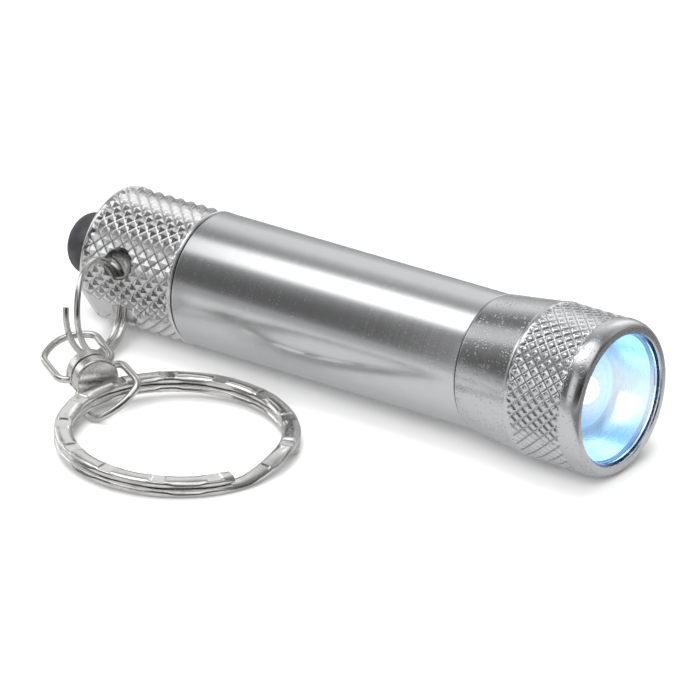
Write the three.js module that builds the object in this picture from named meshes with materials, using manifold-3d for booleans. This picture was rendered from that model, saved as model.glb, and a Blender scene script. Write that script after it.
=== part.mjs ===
// Keychain flashlight: a small aluminium button-cell torch with a push button in the tail,
// hung from a split ring, a two-cup swivel and a flat key ring.
// Millimetres, +Z up. The torch lies on its side with its head towards +X.
import * as THREE from 'three';
import { mergeVertices } from 'three/addons/utils/BufferGeometryUtils.js';
import Module from 'manifold-3d';

const wasm = await Module();
wasm.setup();

// ---- driving dimensions -------------------------------------------------------------------
// Stations along the torch axis are measured from the tail rim.
const bodyRadius = 7.0;
const capRadius = 7.05;
const headRadius = 8.1;
const headKnurlRadius = 8.05;
const collarRearRadius = 7.12;
const collarFrontRadius = 7.93;
const capLength = 12.0;
const headSeam = 47.6;
const knurlStart = 54.5;
const bezelStart = 61.6;
const headFront = 63.15;
const openingRadius = 6.8;
const rimRadius = 7.35;
const rimChamfer = 0.4;

const tubeBore = 6.3;
const spigotRadius = 6.15;
const spigotBore = 5.2;
const spigotLength = 3.4;

const buttonRadius = 3.3;
const buttonBore = 3.45;
const buttonReach = 5.7;
const chamberStart = 7.0;

const cellRadius = 5.8;
const cellLength = 5.2;
const cellPitch = 5.5;
const cellCount = 4;
const firstCell = 18.5;

const smallRingRadius = 4.87;
const smallWire = 0.33;
const smallRingPitch = 0.74;
const smallRingCentre = new THREE.Vector3(5.19, -9.68, 5.7);
const smallRingNormal = new THREE.Vector3(0.9805, 0.1441, 0.1338).normalize();

const drumCentre = new THREE.Vector3(10.05, -17.42, 2.45);
const drumAxis = new THREE.Vector3(0.871, -0.491, 0).normalize();
const drumRadius = 2.3;
const cupDepth = 1.4;
const cupGap = 0.3;
const cupWall = 0.4;
const pivotOffset = 0.85;
const pivotHole = 0.6;
const rivetRadius = 0.6;

const bailWire = 0.38;
const bailHalfWidth = 3.0;
const pinReach = 1.45;
const cornerRadius = 0.8;

const keyRingRadius = 12.35;
const bandWidth = 1.9;
const turnHeight = 0.92;
const turnGap = 0.06;
const keyRingCentre = new THREE.Vector3(23.9, -21.3, 0);
const keyRingLift = 0.95;

const shellSides = 40;
const innerSides = 20;

// ---- helpers ------------------------------------------------------------------------------
const deg = THREE.MathUtils.degToRad;

// A closed triangle mesh as a solid, with its faces turned outwards.
function solid(geometry) {
  const bare = geometry.clone();
  bare.deleteAttribute('normal');
  bare.deleteAttribute('uv');
  const merged = mergeVertices(bare, 1e-4);
  const position = merged.getAttribute('position');
  const index = merged.getIndex().array;
  const kept = [];
  let volume = 0;
  const [a, b, c] = [new THREE.Vector3(), new THREE.Vector3(), new THREE.Vector3()];
  for (let i = 0; i < index.length; i += 3) {
    const [p, q, r] = [index[i], index[i + 1], index[i + 2]];
    if (p === q || q === r || r === p) continue;
    kept.push([p, q, r]);
    a.fromBufferAttribute(position, p);
    b.fromBufferAttribute(position, q);
    c.fromBufferAttribute(position, r);
    volume += a.dot(b.cross(c));
  }
  const triangles = volume < 0 ? kept.map(([p, q, r]) => [p, r, q]) : kept;
  return new wasm.Manifold(new wasm.Mesh({
    numProp: 3,
    vertProperties: new Float32Array(position.array),
    triVerts: new Uint32Array(triangles.flat()),
  }));
}

function geometryOf(body) {
  const mesh = body.getMesh();
  const geometry = new THREE.BufferGeometry();
  geometry.setAttribute('position', new THREE.BufferAttribute(mesh.vertProperties, 3));
  geometry.setIndex(new THREE.BufferAttribute(mesh.triVerts, 1));
  geometry.computeVertexNormals();
  return geometry;
}

function piece(name, body, finish) {
  const mesh = new THREE.Mesh(geometryOf(body), new THREE.MeshStandardMaterial(finish));
  mesh.name = name;
  return mesh;
}

// A turned part: its outline is a list of [station, radius], turned about the X axis.
function turned(outline, sides = innerSides) {
  const points = outline.map(([station, radius]) => new THREE.Vector2(radius, station));
  const onAxis = outline[0][1] === 0 && outline[outline.length - 1][1] === 0;
  if (!onAxis) points.push(points[0].clone());
  return solid(new THREE.LatheGeometry(points, sides).rotateZ(-Math.PI / 2));
}

function cylinderBetween(from, to, radius, sides = 16) {
  const along = to.clone().sub(from);
  const geometry = new THREE.CylinderGeometry(radius, radius, along.length(), sides);
  const turn = new THREE.Quaternion().setFromUnitVectors(
    new THREE.Vector3(0, 1, 0), along.clone().normalize());
  geometry.applyQuaternion(turn);
  const middle = from.clone().add(to).multiplyScalar(0.5);
  return solid(geometry.translate(middle.x, middle.y, middle.z));
}

function roundSection(radius, sides) {
  const points = [];
  for (let i = 0; i < sides; i += 1) {
    const angle = (2 * Math.PI * i) / sides;
    points.push(new THREE.Vector2(radius * Math.cos(angle), radius * Math.sin(angle)));
  }
  return new THREE.Shape(points);
}

function sweep(section, path, steps) {
  return solid(new THREE.ExtrudeGeometry(section, {
    steps, bevelEnabled: false, extrudePath: path,
  }));
}

function smooth(from, to, value) {
  return THREE.MathUtils.smoothstep(value, from, to);
}

// ---- finishes -----------------------------------------------------------------------------
const aluminium = { color: 0xc9cacc, roughness: 0.3, metalness: 1 };
const nickel = { color: 0xd2d2d0, roughness: 0.18, metalness: 1 };
const steel = { color: 0xb8bbbd, roughness: 0.3, metalness: 1 };
const springSteel = { color: 0xa9abad, roughness: 0.35, metalness: 1 };
const brass = { color: 0xb89a58, roughness: 0.35, metalness: 1 };
const blackRubber = { color: 0x26272a, roughness: 0.75, metalness: 0 };
const whitePlastic = { color: 0xe6e4dc, roughness: 0.5, metalness: 0 };
const sleevePlastic = { color: 0x3a3d42, roughness: 0.5, metalness: 0 };
const chromePlastic = { color: 0xd9e6ee, roughness: 0.12, metalness: 1 };
const clearPlastic = { color: 0xeef6fa, roughness: 0.05, metalness: 0 };
const ledEpoxy = { color: 0xcfe6f5, roughness: 0.1, metalness: 0 };
const greenBoard = { color: 0x2d6a43, roughness: 0.5, metalness: 0 };

// ---- where the torch rests ----------------------------------------------------------------
// It lies on the rear edge of the head's knurl and on the tail cap, so its nose is up a
// little.
const rearContact = rimChamfer;
const frontContact = knurlStart;
const noseUp = Math.asin((headKnurlRadius - capRadius) / (frontContact - rearContact));
const rimHeight = capRadius * Math.cos(noseUp) - rearContact * Math.sin(noseUp);
const torch = new THREE.Group();
torch.position.set(0, 0, rimHeight);
torch.rotation.y = -noseUp;
torch.updateMatrixWorld();
const worldToTorch = torch.matrixWorld.clone().invert();

// ---- the tube and the cells ---------------------------------------------------------------
function bodyTube() {
  const edge = 0.15;
  return turned([
    [capLength + edge, bodyRadius], [capLength, bodyRadius - edge], [capLength, tubeBore],
    [headSeam, tubeBore], [headSeam, bodyRadius - edge], [headSeam - edge, bodyRadius],
  ], shellSides);
}

function batterySleeve() {
  const wall = 0.15;
  const outer = tubeBore - 0.1;
  const start = capLength + spigotLength + 1.0;
  const end = headSeam - spigotLength - 1.0;
  return turned([[start, outer - wall], [end, outer - wall], [end, outer], [start, outer]]);
}

// A button cell: its flat positive can, and the smaller negative cap at the rear.
function buttonCell(start) {
  const capEnd = start + 0.7;
  const end = start + cellLength;
  return turned([
    [start, 0], [start, 4.6], [capEnd, 4.6], [capEnd, cellRadius - 0.3],
    [capEnd + 0.3, cellRadius], [end - 0.2, cellRadius], [end, cellRadius - 0.2], [end, 0],
  ]);
}

// ---- springs ------------------------------------------------------------------------------
class ConeHelix extends THREE.Curve {
  constructor(start, end, startRadius, endRadius, turns) {
    super();
    Object.assign(this, { start, end, startRadius, endRadius, turns });
  }

  getPoint(t, target = new THREE.Vector3()) {
    const angle = 2 * Math.PI * this.turns * t;
    const radius = THREE.MathUtils.lerp(this.startRadius, this.endRadius, t);
    const station = THREE.MathUtils.lerp(this.start, this.end, t);
    return target.set(station, radius * Math.cos(angle), radius * Math.sin(angle));
  }
}

function contactSpring(start, end, startRadius, endRadius, turns) {
  const wire = 0.25;
  const path = new ConeHelix(start + wire, end - wire, startRadius, endRadius, turns);
  return sweep(roundSection(wire, 5), path, Math.round(turns * 10));
}

// ---- the tail cap and its switch ----------------------------------------------------------
// The small split ring threads the cap's side through a curved tunnel round the same centre.
function lugTunnel() {
  const tunnelRadius = 1.02;
  const mouthRadius = 1.45;
  const middle = smallRingNormal.clone().multiplyScalar(-smallRingPitch / 2);
  const centre = smallRingCentre.clone().add(middle).applyMatrix4(worldToTorch);
  const normal = smallRingNormal.clone().transformDirection(worldToTorch);
  const turn = new THREE.Quaternion().setFromUnitVectors(new THREE.Vector3(0, 0, 1), normal);
  const ring = new THREE.TorusGeometry(smallRingRadius, tunnelRadius, 10, 40);
  ring.applyQuaternion(turn).translate(centre.x, centre.y, centre.z);
  const distance = Math.hypot(centre.y, centre.z);
  const facing = Math.atan2(centre.z, -centre.y);
  const cosine = (distance ** 2 + bodyRadius ** 2 - smallRingRadius ** 2)
    / (2 * distance * bodyRadius);
  let cut = solid(ring);
  for (const side of [1, -1]) {
    const angle = facing + side * Math.acos(cosine);
    const mouth = new THREE.SphereGeometry(mouthRadius, 14, 9);
    mouth.translate(centre.x, -bodyRadius * Math.cos(angle), bodyRadius * Math.sin(angle));
    cut = cut.add(solid(mouth));
  }
  return cut;
}

// The shallow flat on the cap's lower side, where the ring leaves the tunnel.
function lugFlat() {
  const depth = 0.45;
  const length = 6.4;
  const facing = deg(-34);
  const flat = new THREE.BoxGeometry(2 * length, 4, 12);
  flat.translate(0, -(capRadius - depth) - 2, 0);
  flat.rotateX(-facing);
  return solid(flat);
}

function tailCap() {
  const end = capLength - 0.15;
  const spigotEnd = capLength + spigotLength;
  const groove = { start: 12.5, end: 13.5, radius: 5.7 };
  return turned([
    [0, buttonBore], [0, capRadius - rimChamfer], [rimChamfer, capRadius],
    [end - 0.2, capRadius], [end, capRadius - 0.2], [end, spigotRadius],
    [groove.start, spigotRadius], [groove.start, groove.radius],
    [groove.end, groove.radius], [groove.end, spigotRadius],
    [spigotEnd - 0.3, spigotRadius], [spigotEnd, spigotRadius - 0.3],
    [spigotEnd, spigotBore], [chamberStart, spigotBore], [chamberStart, buttonBore],
  ], shellSides).subtract(lugFlat()).subtract(lugTunnel());
}

function oRing(station) {
  const section = 0.2;
  const ring = new THREE.TorusGeometry(6.02, section, 6, innerSides);
  return solid(ring.rotateY(Math.PI / 2).translate(station, 0, 0));
}

// A rubber button with a rounded end, hollow behind for the plunger, and a flange that
// keeps it in the cap.
function buttonBoot() {
  const tip = -buttonReach;
  const crown = 0.3;
  const edge = 1.9;
  const skin = 1.5;
  const hollowRadius = 2.2;
  const flange = { start: chamberStart + 0.3, end: chamberStart + 1.1, radius: 4.6 };
  const outline = [[tip, 0]];
  for (let i = 5; i >= 0; i -= 1) {
    const angle = (Math.PI / 2) * (i / 5);
    outline.push([tip + crown + edge * (1 - Math.sin(angle)),
      buttonRadius - edge * (1 - Math.cos(angle))]);
  }
  outline.push([flange.start, buttonRadius], [flange.start, flange.radius],
    [flange.end, flange.radius], [flange.end, 0]);
  const hollow = turned([[tip + skin, 0], [tip + skin, hollowRadius],
    [flange.end + 1, hollowRadius], [flange.end + 1, 0]]);
  return turned(outline, 32).subtract(hollow);
}

function switchPlunger() {
  const start = -buttonReach + 1.8;
  const shoulder = chamberStart + 1.4;
  return turned([
    [start, 0], [start, 1.9], [shoulder, 1.9], [shoulder, 1.2], [10.1, 1.2], [10.1, 0],
  ]);
}

function switchHousing() {
  const start = 9.5;
  const end = 13.4;
  const wall = 0.8;
  return turned([
    [start, 1.5], [start, spigotBore - 0.15], [end, spigotBore - 0.15], [end, 3.6],
    [start + wall, 3.6], [start + wall, 1.5],
  ]);
}

function snapDome() {
  const rim = 12.2;
  const rise = 0.75;
  const sheet = 0.25;
  return turned([
    [rim - rise, 0], [rim - rise * 0.8, 1.5], [rim, 3.3], [rim + sheet, 3.3],
    [rim + sheet - rise * 0.8, 1.5], [rim + sheet - rise, 0],
  ]);
}

function retainerRing() {
  const start = 13.7;
  const end = 14.8;
  const outer = spigotBore - 0.15;
  return turned([[start, 3.7], [end, 3.7], [end, outer], [start, outer]]);
}

// ---- the head and the lamp ----------------------------------------------------------------
function headOutline() {
  const collar = [
    [headSeam + 0.15, collarRearRadius - 0.15], [headSeam + 0.3, collarRearRadius],
    [knurlStart - 0.4, collarFrontRadius],
  ];
  const bezel = [];
  const round = headFront - bezelStart;
  for (let i = 0; i <= 4; i += 1) {
    const angle = (Math.PI / 2) * (i / 4);
    bezel.push([bezelStart + round * Math.sin(angle),
      rimRadius + (headRadius - rimRadius) * Math.cos(angle)]);
  }
  return [...collar, [knurlStart, headKnurlRadius], ...bezel];
}

function head() {
  const seam = headSeam + 0.15;
  const spigotEnd = headSeam - spigotLength;
  const groove = { start: 46.1, end: 47.1, radius: 5.7 };
  return turned([
    [spigotEnd, spigotBore], [spigotEnd, spigotRadius - 0.3],
    [spigotEnd + 0.3, spigotRadius], [groove.start, spigotRadius],
    [groove.start, groove.radius], [groove.end, groove.radius],
    [groove.end, spigotRadius], [seam, spigotRadius],
    ...headOutline(),
    [headFront, openingRadius], [58.0, openingRadius], [58.0, 6.2], [50.5, 6.2],
    [50.5, spigotBore],
  ], shellSides);
}

function ledBoard() {
  return turned([[50.8, 0], [50.8, 6.05], [51.9, 6.05], [51.9, 0]]);
}

function ledBulb() {
  const foot = 52.2;
  const outline = [[foot, 0], [foot, 2.9], [foot + 1, 2.9], [foot + 1, 2.5]];
  for (let i = 0; i <= 4; i += 1) {
    const angle = (Math.PI / 2) * (i / 4);
    outline.push([57.6 + 2.5 * Math.sin(angle), 2.5 * Math.cos(angle)]);
  }
  outline[outline.length - 1][1] = 0;
  return turned(outline);
}

// The reflector is a bowl with a hole for the bulb, a flange under the lens and a wall
// behind that stands on the shoulder in the head.
function reflector() {
  const outer = openingRadius - 0.15;
  const front = 61.6;
  const floor = 58.3;
  const bowl = [];
  for (let i = 0; i <= 6; i += 1) {
    const t = i / 6;
    bowl.push([front - 3.0 * (1 - (1 - t) ** 2), 6.35 - 1.75 * t]);
  }
  return turned([
    [floor, 2.8], [floor, outer], [front, outer], ...bowl, [58.6, 2.8],
  ], 32);
}

function lens() {
  const outer = openingRadius - 0.15;
  return turned([[61.9, 0], [61.9, outer], [62.7, outer], [62.7, 0]], 32);
}

// ---- split rings --------------------------------------------------------------------------
// A wire wound round a centre in the plane square to its axis. The shift function says how
// far each place on the wire is moved along the axis.
class SplitRing extends THREE.Curve {
  constructor(centre, axis, outwards, radius, startAngle, endAngle, shift) {
    super();
    const across = outwards.clone().addScaledVector(axis, -outwards.dot(axis)).normalize();
    const onward = axis.clone().cross(across);
    Object.assign(this, { centre, axis, across, onward, radius, startAngle, endAngle, shift });
  }

  getPoint(t, target = new THREE.Vector3()) {
    const angle = THREE.MathUtils.lerp(this.startAngle, this.endAngle, t);
    return target.copy(this.centre)
      .addScaledVector(this.across, this.radius * Math.cos(deg(angle)))
      .addScaledVector(this.onward, this.radius * Math.sin(deg(angle)))
      .addScaledVector(this.axis, this.shift(angle));
  }
}

function smallSplitRing() {
  const splay = 0.6;
  const shift = (angle) => -smallRingPitch * (1 - smooth(255, 350, angle))
    - splay * (1 - smooth(-20, 170, angle));
  const outwards = new THREE.Vector3(0, -1, 0);
  const path = new SplitRing(smallRingCentre, smallRingNormal, outwards, smallRingRadius,
    -20, 600, shift);
  return sweep(roundSection(smallWire, 6), path, 52);
}

// The key ring is a flat band wound nearly twice, one turn lying on the other. The end by
// the swivel is lifted, because one leg of the front bail runs under the band.
const towardsSwivel = drumCentre.clone().sub(keyRingCentre).setZ(0).normalize();
const keyRingTilt = Math.asin(keyRingLift / (2 * keyRingRadius));
const keyRingAxis = new THREE.Vector3(0, 0, 1)
  .addScaledVector(towardsSwivel, -Math.tan(keyRingTilt)).normalize();

function keyRing() {
  const step = turnHeight + turnGap;
  const shift = (angle) => turnHeight / 2 + step * smooth(318, 352, angle);
  const outwards = new THREE.Vector3(0.93, 0.37, 0);
  const centre = keyRingCentre.clone().setZ(keyRingLift / 2);
  const path = new SplitRing(centre, keyRingAxis, outwards, keyRingRadius - bandWidth / 2,
    4, 674, shift);
  const corner = 0.2;
  const [x, y] = [turnHeight / 2, bandWidth / 2];
  const section = new THREE.Shape([
    [-x, -y + corner], [-x + corner, -y], [x - corner, -y], [x, -y + corner],
    [x, y - corner], [x - corner, y], [-x + corner, y], [-x, y - corner],
  ].map(([u, v]) => new THREE.Vector2(u, v)));
  return sweep(section, path, 72);
}

// ---- the swivel ---------------------------------------------------------------------------
// The swivel is built in its own frame: the drum's axis and a cross axis that its bails
// turn on, rolled up out of the level.
function crossAxis(roll) {
  const level = new THREE.Vector3(-drumAxis.y, drumAxis.x, 0);
  return level.multiplyScalar(Math.cos(roll)).setZ(Math.sin(roll));
}
const frontCross = crossAxis(deg(33));
const rearCross = crossAxis(deg(15));
const frontPivot = drumCentre.clone().addScaledVector(drumAxis, pivotOffset);
const rearPivot = drumCentre.clone().addScaledVector(drumAxis, -pivotOffset);

function swivelCup(sign, cross, pivot) {
  const edge = 0.25;
  const open = cupGap / 2;
  const closed = open + cupDepth;
  const inner = drumRadius - cupWall;
  const hole = sign < 0 ? rivetRadius + 0.2 : 0;
  const shape = turned([
    [closed, hole], [closed, drumRadius - edge], [closed - edge, drumRadius],
    [open, drumRadius], [open, inner], [closed - cupWall, inner], [closed - cupWall, hole],
  ]);
  const turn = new THREE.Quaternion().setFromUnitVectors(
    new THREE.Vector3(1, 0, 0), drumAxis.clone().multiplyScalar(sign));
  const geometry = geometryOf(shape).applyQuaternion(turn)
    .translate(drumCentre.x, drumCentre.y, drumCentre.z);
  const reach = cross.clone().multiplyScalar(drumRadius + 1);
  const drill = cylinderBetween(pivot.clone().sub(reach), pivot.clone().add(reach),
    pivotHole, 12);
  return solid(geometry).subtract(drill);
}

function swivelRivet() {
  const headStation = cupGap / 2 + cupDepth + 0.25;
  const at = (distance) => drumCentre.clone().addScaledVector(drumAxis, distance);
  const shank = cylinderBetween(at(-headStation - 0.1),
    at(cupGap / 2 + cupDepth - cupWall - 0.2), rivetRadius, 12);
  return shank.add(cylinderBetween(at(-headStation - 0.5), at(-headStation), 1.2, 16));
}

// A bail is one bent wire: a pin into the drum, a leg, a bowed crown, a leg and a pin.
function bail(pivot, cross, reachDirection, legLength, bow) {
  const at = (across, reach) => pivot.clone().addScaledVector(cross, across)
    .addScaledVector(reachDirection, reach);
  const bends = [at(pinReach, 0), at(bailHalfWidth, 0), at(bailHalfWidth, legLength)];
  for (const across of [0.55, 0, -0.55]) {
    bends.push(at(across * bailHalfWidth, legLength + bow * (1 - across ** 2)));
  }
  bends.push(at(-bailHalfWidth, legLength), at(-bailHalfWidth, 0), at(-pinReach, 0));
  const path = new THREE.CurvePath();
  let last = bends[0];
  for (let i = 1; i < bends.length - 1; i += 1) {
    const before = bends[i].clone().sub(bends[i - 1]).normalize();
    const after = bends[i + 1].clone().sub(bends[i]).normalize();
    const into = bends[i].clone().addScaledVector(before, -cornerRadius);
    const out = bends[i].clone().addScaledVector(after, cornerRadius);
    path.add(new THREE.LineCurve3(last, into));
    path.add(new THREE.QuadraticBezierCurve3(into, bends[i], out));
    last = out;
  }
  path.add(new THREE.LineCurve3(last, bends[bends.length - 1]));
  return sweep(roundSection(bailWire, 6), path, 40);
}

function reachSquareTo(cross, wanted) {
  return wanted.clone().addScaledVector(cross, -wanted.dot(cross)).normalize();
}
const frontReach = reachSquareTo(frontCross, new THREE.Vector3(0.892, -0.441, -0.12));
const rearReach = reachSquareTo(rearCross, new THREE.Vector3(-0.83, 0.53, 0.17));

// ---- assembly -----------------------------------------------------------------------------
torch.add(
  piece('body_tube', bodyTube(), aluminium),
  piece('battery_sleeve', batterySleeve(), sleevePlastic),
  piece('tail_cap', tailCap(), aluminium),
  piece('tail_o_ring', oRing(13.0), blackRubber),
  piece('button_boot', buttonBoot(), blackRubber),
  piece('switch_plunger', switchPlunger(), whitePlastic),
  piece('switch_housing', switchHousing(), whitePlastic),
  piece('switch_dome', snapDome(), steel),
  piece('switch_retainer_ring', retainerRing(), brass),
  piece('rear_contact_spring', contactSpring(12.8, 18.2, 2.6, 1.6, 4), springSteel),
  piece('front_contact_spring', contactSpring(40.7, 50.5, 1.8, 2.8, 5), springSteel),
  piece('head', head(), aluminium),
  piece('head_o_ring', oRing(46.6), blackRubber),
  piece('led_board', ledBoard(), greenBoard),
  piece('led_bulb', ledBulb(), ledEpoxy),
  piece('reflector', reflector(), chromePlastic),
  piece('lens', lens(), clearPlastic),
);
for (let i = 0; i < cellCount; i += 1) {
  torch.add(piece(`cell_${i + 1}`, buttonCell(firstCell + i * cellPitch), steel));
}

const hangings = new THREE.Group();
hangings.add(
  piece('small_split_ring', smallSplitRing(), nickel),
  piece('swivel_rear_bail', bail(rearPivot, rearCross, rearReach, 5.0, 1.6), nickel),
  piece('swivel_rear_cup', swivelCup(-1, rearCross, rearPivot), nickel),
  piece('swivel_rivet', swivelRivet(), nickel),
  piece('swivel_front_cup', swivelCup(1, frontCross, frontPivot), nickel),
  piece('swivel_front_bail', bail(frontPivot, frontCross, frontReach, 4.9, 0.8), nickel),
  piece('key_ring', keyRing(), nickel),
);

// The origin is the middle of the bounding box, on the surface that the object lies on.
const flashlight = new THREE.Group();
flashlight.add(torch, hangings);
const extent = new THREE.Box3().setFromObject(flashlight, true);
const middle = extent.getCenter(new THREE.Vector3());
flashlight.position.set(-middle.x, -middle.y, -extent.min.z);
flashlight.updateMatrixWorld(true);

export default flashlight;
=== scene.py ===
# %% [markdown]
# # Keychain flashlight
# A small aluminium torch hangs from a split ring, a swivel and a flat key ring. The CAD
# model fixes every size and joint. This script gives each piece its fine shape and its
# finish. It measures in metres, but outlines are written in millimetres and multiplied
# by MM, because that is how a turner reads them.

# %% Load the frame
import math

import bmesh
import bpy
from mathutils import Matrix, Vector


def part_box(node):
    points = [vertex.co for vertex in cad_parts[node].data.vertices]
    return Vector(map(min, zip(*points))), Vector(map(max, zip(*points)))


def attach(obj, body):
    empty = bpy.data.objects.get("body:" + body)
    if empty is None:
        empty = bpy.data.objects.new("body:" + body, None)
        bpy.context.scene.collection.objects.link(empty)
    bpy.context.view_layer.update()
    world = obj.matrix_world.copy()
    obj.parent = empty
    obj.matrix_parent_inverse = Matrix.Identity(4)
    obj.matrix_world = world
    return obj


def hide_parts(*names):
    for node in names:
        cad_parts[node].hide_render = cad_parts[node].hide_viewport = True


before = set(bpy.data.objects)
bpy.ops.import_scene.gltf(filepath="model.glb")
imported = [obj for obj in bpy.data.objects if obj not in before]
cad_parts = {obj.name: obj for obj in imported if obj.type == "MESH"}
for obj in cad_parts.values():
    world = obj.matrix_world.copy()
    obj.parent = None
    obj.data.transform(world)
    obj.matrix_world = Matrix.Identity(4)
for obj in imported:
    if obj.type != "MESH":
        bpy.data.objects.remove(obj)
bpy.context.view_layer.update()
MM = 0.001

# %% [markdown]
# ## Where the torch lies
# The torch rests on the fat head and on the thinner tail cap, so its axis points up by
# about a degree. Turned pieces are made round the X axis, with the tail rim at zero, and
# then carried to their place by one matrix. The tube's box in the CAD model gives that
# matrix its origin, so nothing has to be fitted by eye.

# %% The torch's own axes
CAP_RADIUS = 7.05
HEAD_KNURL_RADIUS = 8.05
KNURL_START = 54.5
RIM_CHAMFER = 0.4
NOSE_UP = math.asin((HEAD_KNURL_RADIUS - CAP_RADIUS) / (KNURL_START - RIM_CHAMFER))
TUBE_MIDDLE = 29.8

tube_low, tube_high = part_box("body_tube")
torch_axis = Vector((math.cos(NOSE_UP), 0, math.sin(NOSE_UP)))
torch_up = Vector((-math.sin(NOSE_UP), 0, math.cos(NOSE_UP)))
torch_origin = (tube_low + tube_high) / 2 - torch_axis * TUBE_MIDDLE * MM
TORCH = Matrix((
    (torch_axis.x, 0, torch_up.x, torch_origin.x),
    (0, 1, 0, torch_origin.y),
    (torch_axis.z, 0, torch_up.z, torch_origin.z),
    (0, 0, 0, 1),
))
rim_height = CAP_RADIUS * math.cos(NOSE_UP) - RIM_CHAMFER * math.sin(NOSE_UP)
floor_origin = torch_origin - Vector((0, 0, rim_height * MM))
print("tail rim at", [round(x / MM, 3) for x in torch_origin])


# %% [markdown]
# ## Node trees written as sums
# Both geometry and shader trees do plain arithmetic with Math nodes. A small class lets
# that arithmetic be written as a sum, and it lays the Math nodes down by itself.

# %% A number in a node tree
class Number:
    """A socket that adds, multiplies and compares by making Math nodes."""

    def __init__(self, tree, socket):
        self.tree, self.socket = tree, socket

    def do(self, operation, *others):
        made = self.tree.nodes.new("ShaderNodeMath")
        made.operation = operation
        for place, feed in enumerate((self, *others)):
            plug(self.tree, feed, made.inputs[place])
        return Number(self.tree, made.outputs[0])

    def __add__(self, other):
        return self.do("ADD", other)

    def __sub__(self, other):
        return self.do("SUBTRACT", other)

    def __mul__(self, other):
        return self.do("MULTIPLY", other)

    def __truediv__(self, other):
        return self.do("DIVIDE", other)

    def __neg__(self):
        return self.do("MULTIPLY", -1.0)

    def __rtruediv__(self, other):
        return self.do("POWER", -1.0) * other

    __radd__ = __add__
    __rmul__ = __mul__

    def __rsub__(self, other):
        return -self + other


def plug(tree, feed, socket):
    """Join a number, socket or node's first output, or set the socket's own value."""
    if isinstance(feed, Number):
        feed = feed.socket
    if isinstance(feed, bpy.types.Node):
        feed = feed.outputs[0]
    if isinstance(feed, bpy.types.NodeSocket):
        tree.links.new(feed, socket)
    elif feed is not None:
        socket.default_value = feed


# %% Nodes and trees
def place(tree, kind, feeds=None, **settings):
    """Add a node, set its settings, and plug its inputs, given by name or number."""
    made = tree.nodes.new(kind)
    for key, value in settings.items():
        setattr(made, key, value)
    for key, feed in (feeds or {}).items():
        plug(tree, feed, made.inputs[key])
    return made


def new_tree(name, kind, inputs, outputs):
    """A node group with named sockets. Returns it, its inputs and its output node."""
    tree = bpy.data.node_groups.new(name, kind)
    for label, socket_kind, value in inputs:
        socket = tree.interface.new_socket(label, in_out="INPUT", socket_type=socket_kind)
        if value is not None:
            socket.default_value = value
    for label, socket_kind in outputs:
        tree.interface.new_socket(label, in_out="OUTPUT", socket_type=socket_kind)
    given = tree.nodes.new("NodeGroupInput")
    sockets = {label: Number(tree, given.outputs[label]) for label, _, _ in inputs}
    return tree, sockets, tree.nodes.new("NodeGroupOutput")


def parts(tree, whole):
    """A vector's X, Y and Z as numbers."""
    split = place(tree, "ShaderNodeSeparateXYZ", {0: whole})
    return [Number(tree, output) for output in split.outputs]


def vector(tree, x, y, z):
    return place(tree, "ShaderNodeCombineXYZ", {0: x, 1: y, 2: z})


FLOAT, WHOLE, VECTOR = "NodeSocketFloat", "NodeSocketInt", "NodeSocketVector"
GEOMETRY, MATERIAL = "NodeSocketGeometry", "NodeSocketMaterial"


def smooth_step(value, start, end):
    """Zero before start, one after end, and an even curve between them."""
    step = place(value.tree, "ShaderNodeMapRange",
                 {"Value": value, "From Min": start, "From Max": end},
                 interpolation_type="SMOOTHSTEP")
    return Number(value.tree, step.outputs[0])


# %% [markdown]
# ## Finishes
# Every metal here is a clean specular metal, so its look comes from small things: the
# rings a lathe leaves, tiny pits, rubbed patches, and painted shade that darkens the
# knurl's grooves. The first three are node groups, built once and used with other values
# in each material; the painted groove shade is worked out inside the turned metal.

# %% Where a point is on the torch
place_tree, given, result = new_tree(
    "torch place", "ShaderNodeTree", [("Point", VECTOR, None)],
    [("Station", FLOAT), ("Radius", FLOAT), ("Turn", FLOAT), ("Own", VECTOR)])
moved = place(place_tree, "ShaderNodeVectorMath",
              {0: given["Point"], 1: tuple(torch_origin)}, operation="SUBTRACT")
turned_back = place(place_tree, "ShaderNodeVectorRotate",
                    {"Vector": moved, "Axis": (0, 1, 0), "Angle": NOSE_UP},
                    rotation_type="AXIS_ANGLE")
in_mm = place(place_tree, "ShaderNodeVectorMath",
              {0: turned_back, "Scale": 1 / MM}, operation="SCALE")
along, across, above = parts(place_tree, in_mm)
radius = (across * across + above * above).do("SQRT")
plug(place_tree, along, result.inputs["Station"])
plug(place_tree, radius, result.inputs["Radius"])
plug(place_tree, above.do("ARCTAN2", across), result.inputs["Turn"])
plug(place_tree, in_mm, result.inputs["Own"])

# %% [markdown]
# The lathe leaves rings. Noise that is read at the station and the radius, and only
# faintly at the turn, is the same nearly all the way round, so it draws rings on the
# tube and circles on a flat face.

# %% Turned grain
grain_tree, given, result = new_tree(
    "turned grain", "ShaderNodeTree",
    [("Station", FLOAT, 0), ("Radius", FLOAT, 0), ("Turn", FLOAT, 0),
     ("Rings per mm", FLOAT, 8)],
    [("Grain", FLOAT), ("Bands", FLOAT)])


def noise(tree, where, scale, detail=3.0):
    made = place(tree, "ShaderNodeTexNoise",
                 {"Vector": where, "Scale": scale, "Detail": detail})
    return Number(tree, made.outputs[0])


def ring_noise(scale, drift):
    where = vector(grain_tree, given["Station"] * scale, given["Radius"] * scale,
                   given["Turn"].do("SINE") * drift)
    return noise(grain_tree, where, 1.0)


plug(grain_tree, ring_noise(given["Rings per mm"], 0.6), result.inputs["Grain"])
plug(grain_tree, ring_noise(0.35, 0.2), result.inputs["Bands"])

# %% [markdown]
# Pits are the points near the middle of scattered cells. Only some cells get one, so a
# second, coarser noise decides where they gather.

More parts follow.
